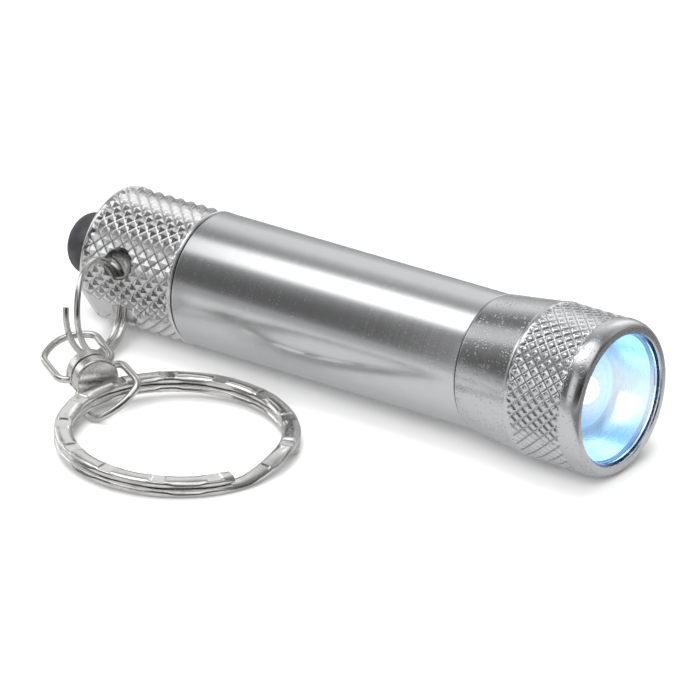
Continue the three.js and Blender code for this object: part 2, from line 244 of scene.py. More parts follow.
# %% Fine pits
pit_tree, given, result = new_tree(
    "fine pits", "ShaderNodeTree",
    [("Place", VECTOR, None), ("Per mm", FLOAT, 4), ("Size", FLOAT, 0.3),
     ("Gathering", FLOAT, 0.55)], [("Pit", FLOAT)])
cells = place(pit_tree, "ShaderNodeTexVoronoi",
              {"Vector": given["Place"], "Scale": given["Per mm"], "Randomness": 1.0})
inside = 1 - smooth_step(Number(pit_tree, cells.outputs["Distance"]),
                         given["Size"] * 0.5, given["Size"])
gathered = smooth_step(noise(pit_tree, given["Place"], 0.9, 2.0),
                       given["Gathering"], given["Gathering"] + 0.1)
plug(pit_tree, inside * gathered, result.inputs["Pit"])

# %% [markdown]
# Plated wire and rings carry hairlines and dull rubbed patches. Long thin noise gives
# the hairlines, and soft broad noise gives the patches.

# %% Rubbed wear
wear_tree, given, result = new_tree(
    "rubbed wear", "ShaderNodeTree", [("Place", VECTOR, None), ("Stretch", VECTOR, None)],
    [("Hairline", FLOAT), ("Rubbed", FLOAT)])
drawn = place(wear_tree, "ShaderNodeVectorMath",
              {0: given["Place"], 1: given["Stretch"]}, operation="MULTIPLY")
fine = noise(wear_tree, drawn, 9.0, 4.0)
broad = noise(wear_tree, given["Place"], 0.7)
plug(wear_tree, smooth_step(fine, 0.56, 0.64), result.inputs["Hairline"])
plug(wear_tree, smooth_step(broad, 0.4, 0.7), result.inputs["Rubbed"])


# %% Material helpers
def new_material(name):
    material = bpy.data.materials.new(name)
    material.use_nodes = True
    tree = material.node_tree
    return material, tree, tree.nodes["Principled BSDF"]


def group(tree, group_tree, feeds):
    """Place a node group in a material and return its outputs by name."""
    made = place(tree, "ShaderNodeGroup", node_tree=group_tree)
    for key, feed in feeds.items():
        plug(tree, feed, made.inputs[key])
    return {out.name: Number(tree, out) for out in made.outputs}


def on_torch(tree):
    here = place(tree, "ShaderNodeTexCoord")
    return group(tree, place_tree, {"Point": here.outputs["Object"]})


def mix_colour(tree, amount, first, second):
    mixed = place(tree, "ShaderNodeMix", {"Factor": amount}, data_type="RGBA")
    plug(tree, (*first, 1) if isinstance(first, tuple) else first, mixed.inputs[6])
    plug(tree, (*second, 1) if isinstance(second, tuple) else second, mixed.inputs[7])
    return mixed.outputs[2]


def set_looks(tree, shader, looks):
    """Set the shader's own sockets, or plug what changes over the surface."""
    for key, feed in looks.items():
        plug(tree, feed, shader.inputs[key])


def raise_surface(tree, shader, height, depth):
    """A Bump node. The height is 0 to 1, and depth is its size in millimetres."""
    bump = place(tree, "ShaderNodeBump",
                 {"Height": height, "Distance": depth * MM, "Strength": 1.0})
    plug(tree, bump, shader.inputs["Normal"])


def worn(tree, torch, stretch=(1, 1, 1)):
    return group(tree, wear_tree, {"Place": torch["Own"], "Stretch": stretch})


# %% [markdown]
# ### Turned metal
# The tube, the cap and the head are cut on a lathe. One function makes their materials,
# because they differ only in colour and gloss, how coarse the grain is, how many pits
# there are, and how much painted shade darkens the metal down in the knurl's grooves.

# %% Turned metal
def turned_metal(name, colour, roughness, rings, grain_depth, pits=0.0, pit_size=0.28,
                 gathering=0.55, pit_depth=0.8, groove=None, shade=0.8):
    material, tree, shader = new_material(name)
    torch = on_torch(tree)
    grain = group(tree, grain_tree, {"Station": torch["Station"],
                                     "Radius": torch["Radius"],
                                     "Turn": torch["Turn"], "Rings per mm": rings})
    pit = group(tree, pit_tree, {"Place": torch["Own"], "Per mm": 3.4,
                                 "Size": pit_size, "Gathering": gathering})["Pit"] * pits
    wear = worn(tree, torch, (0.3, 1, 1))
    dark = tuple(shade * c for c in colour)
    dull = (pit + wear["Rubbed"] * 0.1 + grain["Bands"] * 0.12).do("MINIMUM", 1.0)
    # Painted shade: down in the knurl's grooves the metal is darkened towards the dark
    # colour, where shade would fall. It shares that dark colour with the real pits, rubbed
    # patches and bands.
    if groove:
        bottom, top, first, last = groove
        in_band = (smooth_step(torch["Station"], first, first + 0.3)
                   * (1 - smooth_step(torch["Station"], last - 0.3, last)))
        groove_shade_mask = (1 - smooth_step(torch["Radius"], bottom, top)) * in_band
        groove_shade_mask = groove_shade_mask * smooth_step(torch["Radius"], bottom - 0.15, bottom - 0.05)
        dull = dull.do("MAXIMUM", groove_shade_mask)
    rough = roughness + (grain["Grain"] - 0.5) * 0.12 + wear["Hairline"] * 0.05
    set_looks(tree, shader, {"Base Color": mix_colour(tree, dull, colour, dark),
                             "Metallic": 1.0, "Roughness": rough + pit * 0.2})
    raise_surface(tree, shader, grain["Grain"] - pit * pit_depth, grain_depth)
    return material


ALUMINIUM = (0.83, 0.835, 0.85)
tube_finish = turned_metal("satin_aluminium_tube", ALUMINIUM, 0.21, 9.0, 0.0012)
# Painted light: the cap's aluminium is paler than the tube's, a lighter copy of the same
# metal that stands in for the brighter sparkle of its knurl.
cap_finish = turned_metal("knurled_aluminium_cap", (0.95, 0.95, 0.955), 0.22, 5.0, 0.004,
                          pits=0.2, groove=(6.66, 6.9, 0.4, 11.6), shade=0.85)
head_finish = turned_metal("knurled_aluminium_head", ALUMINIUM, 0.2, 6.0, 0.003,
                           pits=0.8, pit_size=0.36, gathering=0.45, pit_depth=4.0,
                           groove=(7.82, 7.95, 54.7, 61.4), shade=0.75)
print("turned metals:", tube_finish.name, cap_finish.name, head_finish.name)


# %% [markdown]
# ### Plated wire
# The split ring, the bails, the cups and the key ring are steel with bright nickel. It
# is smoother than the aluminium and a little warmer, with hairlines, rubbed patches and
# dull specks. The springs, the cells' cans and a brass ring share the function.

# %% Plated metal
def plated_metal(name, colour, roughness, stretch, specks, depth):
    material, tree, shader = new_material(name)
    torch = on_torch(tree)
    wear = worn(tree, torch, stretch)
    speck = group(tree, pit_tree, {"Place": torch["Own"], "Per mm": 5.0, "Size": 0.22,
                                   "Gathering": 0.52})["Pit"] * specks
    dull = (speck + wear["Rubbed"] * 0.18).do("MINIMUM", 1.0)
    dark = tuple(0.5 * c for c in colour)
    rough = roughness + wear["Rubbed"] * 0.08 + wear["Hairline"] * 0.06
    set_looks(tree, shader, {"Base Color": mix_colour(tree, dull, colour, dark),
                             "Metallic": 1.0, "Roughness": rough + speck * 0.2})
    raise_surface(tree, shader, wear["Hairline"] * 0.5 + speck, depth)
    return material


NICKEL = (0.82, 0.815, 0.8)
ring_finish = plated_metal("nickel_key_ring", (0.92, 0.915, 0.9), 0.07, (1, 1, 6), 0.5,
                           0.004)
wire_finish = plated_metal("nickel_wire", NICKEL, 0.11, (2, 2, 2), 0.5, 0.004)
cup_finish = plated_metal("nickel_swivel_cup", NICKEL, 0.22, (1, 1, 1), 0.6, 0.008)
spring_finish = plated_metal("drawn_spring_wire", (0.62, 0.63, 0.65), 0.28, (1, 1, 1),
                             0.3, 0.004)
can_finish = plated_metal("pressed_cell_can", (0.68, 0.68, 0.67), 0.3, (1, 1, 5), 0.3,
                          0.006)
brass_finish = plated_metal("turned_brass", (0.72, 0.55, 0.27), 0.28, (1, 1, 4), 0.4,
                            0.006)
print("plated metals:", ring_finish.name, wire_finish.name, cup_finish.name)


# %% [markdown]
# ### Rubber and plastics
# The button is matt moulded rubber with a fine spark-eroded grain, a little shinier in
# the rubbed patches. The hidden plastics share the function: only the colour, the
# gloss and the size of the grain change.

# %% Moulded stuff
def moulded(name, colour, light, roughness, grain_per_mm, depth):
    material, tree, shader = new_material(name)
    torch = on_torch(tree)
    grain = noise(tree, torch["Own"], grain_per_mm)
    wear = worn(tree, torch)
    pale = wear["Rubbed"] * 0.5 + grain * 0.3
    set_looks(tree, shader, {
        "Base Color": mix_colour(tree, pale, colour, light),
        "Roughness": roughness + (grain - 0.5) * 0.2 - wear["Rubbed"] * 0.06})
    raise_surface(tree, shader, grain, depth)
    return material


button_finish = moulded("button_rubber_grain", (0.022, 0.022, 0.024),
                        (0.06, 0.06, 0.064), 0.5, 9.0, 0.012)
seal_finish = moulded("seal_rubber_grain", (0.015, 0.015, 0.015), (0.035, 0.035, 0.035),
                      0.55, 7.0, 0.008)
nylon_finish = moulded("moulded_white_nylon", (0.8, 0.79, 0.75), (0.9, 0.89, 0.86), 0.5,
                       6.0, 0.006)
sleeve_finish = moulded("printed_sleeve_film", (0.07, 0.075, 0.09), (0.12, 0.13, 0.15),
                        0.4, 3.0, 0.004)
print("moulded:", button_finish.name, nylon_finish.name)

# %% [markdown]
# ### The lamp
# The bowl is plated bright. Its pale blue tint and its own soft glow are painted light
# that stands in for the lit diode's light reflected in it. The painted glow is brighter
# towards the floor of the bowl and in one patch of its wall, a painted reflection of the
# diode, and fine turned rings break it up. The diode glows white. The lens is clear and
# nearly flat.

# %% Bowl, diode and lens
painted_glow_bowl_finish, tree, shader = new_material("chromed_bowl_painted_glow")
torch = on_torch(tree)
grain = group(tree, grain_tree, {"Station": torch["Station"] * 2,
                                 "Radius": torch["Radius"], "Turn": torch["Turn"],
                                 "Rings per mm": 5.0})
# Painted light: the bowl glows, and the glow turns white towards its floor and in one
# patch of its wall, as painted reflections of the lit diode. The blue base colour is the
# diode's light painted on too.
depth_in = 1 - smooth_step(torch["Radius"], 3.2, 5.4)
painted_reflection_patch = 1 - smooth_step((torch["Turn"] + 0.35).do("ABSOLUTE"), 0.1, 0.75)
painted_hot_spot = (depth_in * 0.85 + painted_reflection_patch * smooth_step(torch["Radius"], 4.4, 5.0)).do(
    "MINIMUM", 1.0)
glow = mix_colour(tree, painted_hot_spot, (0.22, 0.42, 0.66), (1.0, 1.0, 1.0))
set_looks(tree, shader, {
    "Base Color": mix_colour(tree, grain["Bands"], (0.5, 0.72, 0.92), (0.4, 0.64, 0.88)),
    "Metallic": 1.0, "Roughness": 0.2 + grain["Grain"] * 0.14,
    "Emission Color": mix_colour(tree, grain["Grain"] * 0.35, glow, (0.16, 0.33, 0.55)),
    "Emission Strength": 0.75})
raise_surface(tree, shader, grain["Grain"], 0.01)

led_finish, tree, shader = new_material("lit_diode")
torch = on_torch(tree)
core = 1 - smooth_step(torch["Radius"], 0.4, 2.4)
set_looks(tree, shader, {
    "Emission Color": mix_colour(tree, core, (0.6, 0.82, 1.0), (1.0, 1.0, 1.0)),
    "Base Color": mix_colour(tree, core, (0.7, 0.88, 1.0), (0.9, 0.97, 1.0)),
    "Emission Strength": 1.4, "Roughness": 0.12})

lens_finish, tree, shader = new_material("clear_lens_plastic")
torch = on_torch(tree)
wear = worn(tree, torch)
clouded = wear["Rubbed"] * 0.4
set_looks(tree, shader, {
    "Base Color": mix_colour(tree, clouded, (0.97, 0.99, 1.0), (0.93, 0.97, 1.0)),
    "Roughness": 0.01 + wear["Hairline"] * 0.03, "Transmission Weight": 1.0,
    "IOR": 1.3, "Specular IOR Level": 0.3})

board_finish, tree, shader = new_material("circuit_board_traces")
torch = on_torch(tree)
tracks = place(tree, "ShaderNodeTexVoronoi", {"Vector": torch["Own"], "Scale": 0.9},
               distance="CHEBYCHEV")
track = 1 - smooth_step(Number(tree, tracks.outputs["Distance"]), 0.2, 0.24)
set_looks(tree, shader, {
    "Base Color": mix_colour(tree, track, (0.03, 0.2, 0.08), (0.5, 0.42, 0.25)),
    "Roughness": 0.45 - track * 0.15})
raise_surface(tree, shader, track, 0.03)


# %% [markdown]
# ## Turned pieces
# A turner thinks of a piece as an outline that spins. The helper takes the outline as
# pairs of station and radius, makes one ring of corners for each pair, and joins the
# rings. Corners that meet on the axis are merged, so a dome closes to a point.

# %% The lathe
def turned(outline, sides, closed=True):
    shape = bmesh.new()
    rings = []
    for station, radius in outline:
        rings.append([shape.verts.new((
            station * MM,
            radius * MM * math.cos(math.tau * k / sides),
            radius * MM * math.sin(math.tau * k / sides))) for k in range(sides)])
    for near, far in zip(rings, rings[1:] + (rings[:1] if closed else [])):
        for k in range(sides):
            shape.faces.new((near[k - 1], near[k], far[k], far[k - 1]))
    bmesh.ops.remove_doubles(shape, verts=shape.verts, dist=0.0005 * MM)
    return shape


def arc(centre, radius, start, end, steps):
    """Outline points on an arc. Angles are in degrees, from the tail towards the rim."""
    points = []
    for i in range(steps + 1):
        angle = math.radians(start + (end - start) * i / steps)
        points.append((centre[0] + radius * math.cos(angle),
                       centre[1] + radius * math.sin(angle)))
    return points


# %% Finish a mesh as a piece
def add_object(name, data):
    made = bpy.data.objects.new(name, data)
    bpy.context.scene.collection.objects.link(made)
    return made


def as_piece(name, shape, material, matrix=TORCH, crease=35.0):
    """Turn a bmesh into an object with its place in its mesh and its faces outwards."""
    bmesh.ops.recalc_face_normals(shape, faces=shape.faces)
    shape.transform(matrix)
    if shape.calc_volume(signed=True) < 0:
        bmesh.ops.reverse_faces(shape, faces=shape.faces)
    mesh = bpy.data.meshes.new(name)
    shape.to_mesh(mesh)
    shape.free()
    mesh.materials.append(material)
    soften(mesh, crease)
    return add_object(name, mesh)


def soften(mesh, crease):
    mesh.polygons.foreach_set("use_smooth", [True] * len(mesh.polygons))
    mesh.set_sharp_from_angle(angle=math.radians(crease))


def stands_for(piece, body, slot, *nodes):
    """Ride on a body and stand for CAD nodes. The slot argument is not used."""
    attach(piece, body)
    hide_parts(*nodes)
    print(piece.name, "faces", len(piece.data.polygons))


def turned_piece(name, outline, sides, finish, body, slot, node, closed=False,
                 matrix=TORCH, crease=35.0):
    """Turn an outline that starts and ends on the axis, or closes on itself."""
    piece = as_piece(name, turned(outline, sides, closed), finish, matrix, crease)
    stands_for(piece, body, slot, node)


def made_plain(piece):
    """What a piece's modifiers make of it, as a plain mesh."""
    return bpy.data.meshes.new_from_object(
        piece.evaluated_get(bpy.context.evaluated_depsgraph_get()))


# %% [markdown]
# ## A knurl by rule
# A knurl is two families of grooves that cross. Rolled out flat, the height between
# grooves is a triangle wave along each diagonal, and the lower of the two waves makes
# a pyramid. A tree does this on a grid and then rolls the grid round the axis. Cutting
# the wave off at the top leaves flat diamonds, as on the head.

# %% The knurl tree
knurl_tree, given, result = new_tree(
    "knurled sleeve", "GeometryNodeTree",
    [("Radius", FLOAT, 1.0), ("Start", FLOAT, 0.0), ("Length", FLOAT, 1.0),
     ("Diamonds Round", WHOLE, 30), ("Diamonds Long", WHOLE, 8), ("Depth", FLOAT, 0.1),
     ("Flat Top", FLOAT, 0.0), ("Steps", WHOLE, 10), ("Finish", MATERIAL, None)],
    [("Mesh", GEOMETRY)])
grid = place(knurl_tree, "GeometryNodeMeshGrid", {
    "Size X": 1.0, "Size Y": 1.0,
    "Vertices X": given["Diamonds Long"] * given["Steps"] + 1,
    "Vertices Y": given["Diamonds Round"] * given["Steps"] + 1})
here = place(knurl_tree, "GeometryNodeInputPosition")
grid_x, grid_y, _ = parts(knurl_tree, here)
long_way, round_way = grid_x + 0.5, grid_y + 0.5
a = long_way * given["Diamonds Long"]
b = round_way * given["Diamonds Round"]


def between_grooves(t):
    """Zero in a groove and one midway between two grooves."""
    return t.do("PINGPONG", 0.5) * 2


lower = between_grooves(a + b).do("MINIMUM", between_grooves(a - b))
height = (lower / (1 - given["Flat Top"])).do("MINIMUM", 1.0)
END_FADE = 0.3
from_end = a.do("MINIMUM", given["Diamonds Long"] - a)
fade = (from_end / END_FADE).do("MINIMUM", 1.0)
radius = given["Radius"] - given["Depth"] * (1 - height) * fade
angle = round_way * math.tau
rolled = vector(knurl_tree, given["Start"] + given["Length"] * long_way,
                radius * angle.do("COSINE"), radius * angle.do("SINE"))
shaped = place(knurl_tree, "GeometryNodeSetPosition",
               {"Geometry": grid, "Position": rolled})
seam = place(knurl_tree, "GeometryNodeMergeByDistance",
             {"Geometry": shaped, "Distance": 0.0005 * MM})


def end_tree(tree, last, finish, result):
    """End a tree with real geometry that has its material set."""
    real = place(tree, "GeometryNodeRealizeInstances", {0: last})
    dressed = place(tree, "GeometryNodeSetMaterial",
                    {"Geometry": real, "Material": finish})
    plug(tree, dressed, result.inputs[0])


end_tree(knurl_tree, seam, given["Finish"], result)


# %% Grow a piece from a tree
def grow(name, tree, values, source=None):
    """Run a tree with named inputs on an empty mesh or a curve, as a plain mesh."""
    piece = add_object(name, source or bpy.data.meshes.new(name))
    nodes = piece.modifiers.new("tree", "NODES")
    nodes.node_group = tree
    for item in tree.interface.items_tree:
        if item.in_out == "INPUT" and item.name in values:
            nodes[item.identifier] = values[item.name]
    made = made_plain(piece)
    bpy.data.objects.remove(piece)
    shape = bmesh.new()
    shape.from_mesh(made)
    bpy.data.meshes.remove(made)
    return shape


def join_shapes(first, second):
    """Add the second shape to the first, and weld the corners that coincide."""
    spare = bpy.data.meshes.new("spare")
    second.to_mesh(spare)
    second.free()
    first.from_mesh(spare)
    bpy.data.meshes.remove(spare)
    bmesh.ops.remove_doubles(first, verts=first.verts, dist=0.001 * MM)
    return first


# %% [markdown]
# ## The tail cap
# The cap screws on with a spigot that carries a sealing ring, and its rim holds the
# button. The knurl goes nearly to both ends. The plain faces have exactly as many
# corners round as the knurl, so the two weld into one closed skin.

# %% Tail cap skin
CAP_LENGTH = 12.0
CAP_KNURL = {"Diamonds Round": 30, "Diamonds Long": 8, "Steps": 12}
SPIGOT_RADIUS, SPIGOT_BORE, SPIGOT_END = 6.15, 5.2, 15.4
SEAL_RADIUS, SEAL_FROM, SEAL_TO = 5.7, 12.5, 13.5
BUTTON_BORE, CHAMBER_START = 3.45, 7.0
CAP_FACE, CAP_EDGE, RIM_FLAT_RADIUS = 11.85, 0.17, 6.55
knurl_from, knurl_to = 0.45, 11.55
cap = grow("tail_cap", knurl_tree, {
    **CAP_KNURL, "Radius": CAP_RADIUS * MM, "Start": knurl_from * MM,
    "Length": (knurl_to - knurl_from) * MM, "Depth": 0.38 * MM, "Flat Top": 0.05,
    "Finish": cap_finish})
cap_rest = turned([
    (knurl_to, CAP_RADIUS),
    *arc((CAP_FACE - CAP_EDGE, CAP_RADIUS - CAP_EDGE), CAP_EDGE, 90, 0, 4),
    (CAP_FACE, SPIGOT_RADIUS), (SEAL_FROM, SPIGOT_RADIUS), (SEAL_FROM, SEAL_RADIUS),
    (SEAL_TO, SEAL_RADIUS), (SEAL_TO, SPIGOT_RADIUS), (SPIGOT_END - 0.3, SPIGOT_RADIUS),
    (SPIGOT_END, SPIGOT_RADIUS - 0.3), (SPIGOT_END, SPIGOT_BORE),
    (CHAMBER_START, SPIGOT_BORE), (CHAMBER_START, BUTTON_BORE),
    (0.2, BUTTON_BORE), (0, BUTTON_BORE + 0.2), (0, RIM_FLAT_RADIUS),
    *arc((RIM_CHAMFER, CAP_RADIUS - RIM_CHAMFER), RIM_CHAMFER, 180, 90, 5),
    (knurl_from, CAP_RADIUS),
], CAP_KNURL["Diamonds Round"] * CAP_KNURL["Steps"], closed=False)
cap = join_shapes(cap, cap_rest)
print("cap skin: open edges", sum(e.is_boundary for e in cap.edges))

# %% [markdown]
# The small ring passes through the side of the cap in a curved tunnel round the ring's
# own centre, and a shallow flat is cut where it comes out below. Booleans cut them away
# with a block, a torus, and two balls that open the tunnel's mouths.

# %% The cut for the ring
SMALL_RING_RADIUS = 4.87
SMALL_RING_PITCH = 0.74
small_ring_centre = floor_origin + Vector((5.19, -9.68, 5.7)) * MM
small_ring_normal = Vector((0.9805, 0.1441, 0.1338)).normalized()
TUNNEL_RADIUS, MOUTH_RADIUS = 1.05, 1.75


def facing(direction):
    """The turn that takes +Z to a direction."""
    return Vector((0, 0, 1)).rotation_difference(direction).to_matrix().to_4x4()


def torus(major, minor, around, section):
    shape = bmesh.new()
    rings = []
    for i in range(around):
        t = math.tau * i / around
        rings.append([shape.verts.new((
            (major + minor * math.cos(math.tau * k / section)) * math.cos(t),
            (major + minor * math.cos(math.tau * k / section)) * math.sin(t),
            minor * math.sin(math.tau * k / section))) for k in range(section)])
    for i in range(around):
        for k in range(section):
            shape.faces.new((rings[i - 1][k - 1], rings[i][k - 1], rings[i][k],
                             rings[i - 1][k]))
    return shape


tunnel_centre = small_ring_centre - small_ring_normal * SMALL_RING_PITCH / 2 * MM
tunnel = torus(SMALL_RING_RADIUS * MM, TUNNEL_RADIUS * MM, 96, 32)
tunnel_piece = as_piece("tunnel", tunnel, cap_finish,
                        Matrix.Translation(tunnel_centre) @ facing(small_ring_normal))
centre_on_torch = TORCH.inverted() @ tunnel_centre
distance = math.hypot(centre_on_torch.y, centre_on_torch.z)
seat = math.atan2(centre_on_torch.z, -centre_on_torch.y)
TUBE_RADIUS = 7.0
reach = math.acos((distance ** 2 + (TUBE_RADIUS * MM) ** 2 - (SMALL_RING_RADIUS * MM) ** 2)
                  / (2 * distance * TUBE_RADIUS * MM))
mouths = []
for side in (1, -1):
    ball = bmesh.new()
    bmesh.ops.create_uvsphere(ball, u_segments=40, v_segments=24,
                              radius=MOUTH_RADIUS * MM)
    turn = seat + side * reach
    spot = Vector((centre_on_torch.x, -TUBE_RADIUS * MM * math.cos(turn),
                   TUBE_RADIUS * MM * math.sin(turn)))
    mouths.append(as_piece("mouth", ball, cap_finish, TORCH @ Matrix.Translation(spot)))

FLAT_DEPTH, FLAT_LENGTH, FLAT_FACING = 0.45, 6.4, -34
block = bmesh.new()
bmesh.ops.create_cube(block, size=1.0, matrix=(
    Matrix.Rotation(math.radians(-FLAT_FACING), 4, "X")
    @ Matrix.Translation((0, -(CAP_RADIUS - FLAT_DEPTH + 2) * MM, 0))
    @ Matrix.Diagonal((2 * FLAT_LENGTH * MM, 4 * MM, 12 * MM, 1))))
flat_piece = as_piece("flat", block, cap_finish)


# %% Cut it away
def cut_away(piece, cutters):
    for cutter in cutters:
        cut = piece.modifiers.new("cut", "BOOLEAN")
        cut.operation, cut.solver, cut.object = "DIFFERENCE", "MANIFOLD", cutter
    before = len(piece.data.polygons)
    made = made_plain(piece)
    piece.modifiers.clear()
    piece.data = made
    for cutter in cutters:
        bpy.data.objects.remove(cutter)
    soften(piece.data, 35)
    print(piece.name, "cut from", before, "to", len(piece.data.polygons), "faces")


tail_cap = as_piece("knurled_tail_cap", cap, cap_finish)
cut_away(tail_cap, [flat_piece, tunnel_piece, *mouths])
stands_for(tail_cap, "tail_cap", "aluminium", "tail_cap")

# %% [markdown]
# ## The tube
# The tube is plain, so its two ends matter: each has a small rounded edge, which shows
# as a thin bright lip at the seam.

# %% Body tube
HEAD_SEAM = 47.6
TUBE_BORE = 6.3
EDGE = 0.15
turned_piece("satin_body_tube", [
    *arc((CAP_LENGTH + EDGE, TUBE_RADIUS - EDGE), EDGE, 90, 180, 5),
    (CAP_LENGTH, TUBE_BORE), (HEAD_SEAM, TUBE_BORE),
    *arc((HEAD_SEAM - EDGE, TUBE_RADIUS - EDGE), EDGE, 0, 90, 5),
], 240, tube_finish, "torch_body", "aluminium", "body_tube", closed=True)

# %% [markdown]
# ## The head
# The collar flares out to a knurled band, and a polished round bezel holds the lens.
# The head's knurl has the same tree as the cap's, with finer diamonds and flat tops.

# %% Head skin
BEZEL_START, HEAD_FRONT = 61.6, 63.15
HEAD_RADIUS, RIM_RADIUS, OPENING_RADIUS = 8.1, 7.35, 6.8
BOWL_SEAT, LAMP_BORE, BOARD_SEAT = 58.0, 6.2, 50.5
HEAD_SPIGOT, HEAD_SEAL_FROM, HEAD_SEAL_TO = 44.2, 46.1, 47.1
HEAD_KNURL = {"Diamonds Round": 40, "Diamonds Long": 5, "Steps": 12}
band_from, band_to = 54.7, 61.2
head = grow("head", knurl_tree, {
    **HEAD_KNURL, "Radius": HEAD_KNURL_RADIUS * MM, "Start": band_from * MM,
    "Length": (band_to - band_from) * MM, "Depth": 0.2 * MM, "Flat Top": 0.42,
    "Finish": head_finish})
COLLAR_REAR_RADIUS, COLLAR_FRONT_RADIUS = 7.12, 7.93
COLLAR_START, COLLAR_EDGE = 47.75, 0.15
ROUND = HEAD_FRONT - BEZEL_START
bezel = [(BEZEL_START + ROUND * math.sin(math.radians(t)),
          RIM_RADIUS + (HEAD_RADIUS - RIM_RADIUS) * math.cos(math.radians(t)))
         for t in range(0, 91, 6)]
head_rest = turned([
    (band_to, HEAD_KNURL_RADIUS), (band_to + 0.1, HEAD_KNURL_RADIUS), *bezel,
    (HEAD_FRONT - 0.02, OPENING_RADIUS + 0.1), (HEAD_FRONT - 0.15, OPENING_RADIUS),
    (BOWL_SEAT, OPENING_RADIUS), (BOWL_SEAT, LAMP_BORE), (BOARD_SEAT, LAMP_BORE),
    (BOARD_SEAT, SPIGOT_BORE), (HEAD_SPIGOT, SPIGOT_BORE),
    (HEAD_SPIGOT, SPIGOT_RADIUS - 0.3), (HEAD_SPIGOT + 0.3, SPIGOT_RADIUS),
    (HEAD_SEAL_FROM, SPIGOT_RADIUS), (HEAD_SEAL_FROM, SEAL_RADIUS),
    (HEAD_SEAL_TO, SEAL_RADIUS), (HEAD_SEAL_TO, SPIGOT_RADIUS),
    (COLLAR_START, SPIGOT_RADIUS),
    *arc((COLLAR_START + COLLAR_EDGE, COLLAR_REAR_RADIUS - COLLAR_EDGE), COLLAR_EDGE,
         180, 97, 5),
    (KNURL_START - 0.4, COLLAR_FRONT_RADIUS),
    (KNURL_START - 0.25, 7.96), (KNURL_START - 0.1, 8.01),
    (KNURL_START, HEAD_KNURL_RADIUS - 0.005), (band_from, HEAD_KNURL_RADIUS),
], HEAD_KNURL["Diamonds Round"] * HEAD_KNURL["Steps"], closed=False)
head = join_shapes(head, head_rest)
print("head skin: open edges", sum(e.is_boundary for e in head.edges))
lamp_head = as_piece("knurled_lamp_head", head, head_finish)
stands_for(lamp_head, "head", "aluminium", "head")

# %% [markdown]
# ## The lamp
# The bowl is a smooth curve that steps down to a flat floor round the diode. The diode
# is a clear dome, and the lens is a thin disc with rounded edges.

# %% Bowl, diode and lens
BOWL_FRONT, BOWL_RADIUS, BOWL_DEPTH, BOWL_INWARD, STEPS = 61.6, 6.35, 3.0, 1.75, 32
BOWL_BACK, SHELL_RADIUS, DIODE_HOLE = 58.3, 6.65, 2.8
bowl = [(BOWL_FRONT - BOWL_DEPTH * (1 - (1 - i / STEPS) ** 2),
         BOWL_RADIUS - BOWL_INWARD * i / STEPS) for i in range(STEPS + 1)]
turned_piece("turned_bowl", [
    (BOWL_BACK, DIODE_HOLE), (BOWL_BACK, SHELL_RADIUS), (61.5, SHELL_RADIUS),
    (BOWL_FRONT, SHELL_RADIUS - 0.1), *bowl, (58.6, 3.0), (58.52, DIODE_HOLE),
], 180, painted_glow_bowl_finish, "head", "reflector_chrome", "reflector", closed=True, crease=50)

DIODE_RADIUS, DOME_FROM = 2.5, 57.6
turned_piece("diode_dome", [
    (52.2, 0), (52.2, 2.9), (53.2, 2.9), (53.2, DIODE_RADIUS),
    *arc((DOME_FROM, 0), DIODE_RADIUS, 90, 6, 14), (DOME_FROM + DIODE_RADIUS, 0),
], 72, led_finish, "head", "led_epoxy", "led_bulb")

LENS_BACK, LENS_FRONT, LENS_RADIUS, LENS_EDGE = 61.9, 62.7, 6.65, 0.1
turned_piece("clear_lens", [
    (LENS_BACK, 0),
    *arc((LENS_BACK + LENS_EDGE, LENS_RADIUS - LENS_EDGE), LENS_EDGE, 180, 90, 4),
    *arc((LENS_FRONT - LENS_EDGE, LENS_RADIUS - LENS_EDGE), LENS_EDGE, 90, 0, 4),
    (LENS_FRONT, 0),
], 120, lens_finish, "head", "clear_lens", "lens")

# %% [markdown]
# ## The button
# A soft round button fills the hole in the cap. It is one closed shape: a crowned
# front, a straight side, a flange inside the cap, and a hollow behind for the plunger.

# %% Rubber button
BUTTON_RADIUS, BUTTON_REACH = 3.3, 5.7
CROWN_RISE, EDGE_ROUND, SKIN = 0.3, 1.9, 1.5
flat_radius = BUTTON_RADIUS - EDGE_ROUND
FLANGE_FROM, FLANGE_TO, FLANGE_RADIUS, HOLLOW_RADIUS = 7.3, 8.1, 4.6, 2.2
turned_piece("rubber_button", [
    *[(-BUTTON_REACH + CROWN_RISE * (i / 4) ** 2, flat_radius * i / 4) for i in range(5)],
    *[(-BUTTON_REACH + CROWN_RISE + EDGE_ROUND * (1 - math.cos(math.radians(t))),
       flat_radius + EDGE_ROUND * math.sin(math.radians(t))) for t in range(6, 91, 6)],
    (FLANGE_FROM, BUTTON_RADIUS), (FLANGE_FROM, FLANGE_RADIUS),
    (FLANGE_TO, FLANGE_RADIUS), (FLANGE_TO, HOLLOW_RADIUS),
    (SKIN - BUTTON_REACH, HOLLOW_RADIUS), (SKIN - BUTTON_REACH, 0),
], 96, button_finish, "button", "button_rubber", "button_boot")

# %% [markdown]
# ## Split rings by rule
# A split ring is a wire that goes round nearly twice and steps up by its own height on
# the way. The tree sweeps a rounded section along a straight line only to get a clean
# tube with capped ends, and it remembers where each corner was in the section and
# along the line. Then it works out each corner's true place on the ring. The key ring's
# section is an ellipse for most of its length, so lens-shaped slots open between the two
# turns. It is pressed at even steps: there the edges stay fuller, the outer face is
# pushed in, and the sides are pinched in a little.

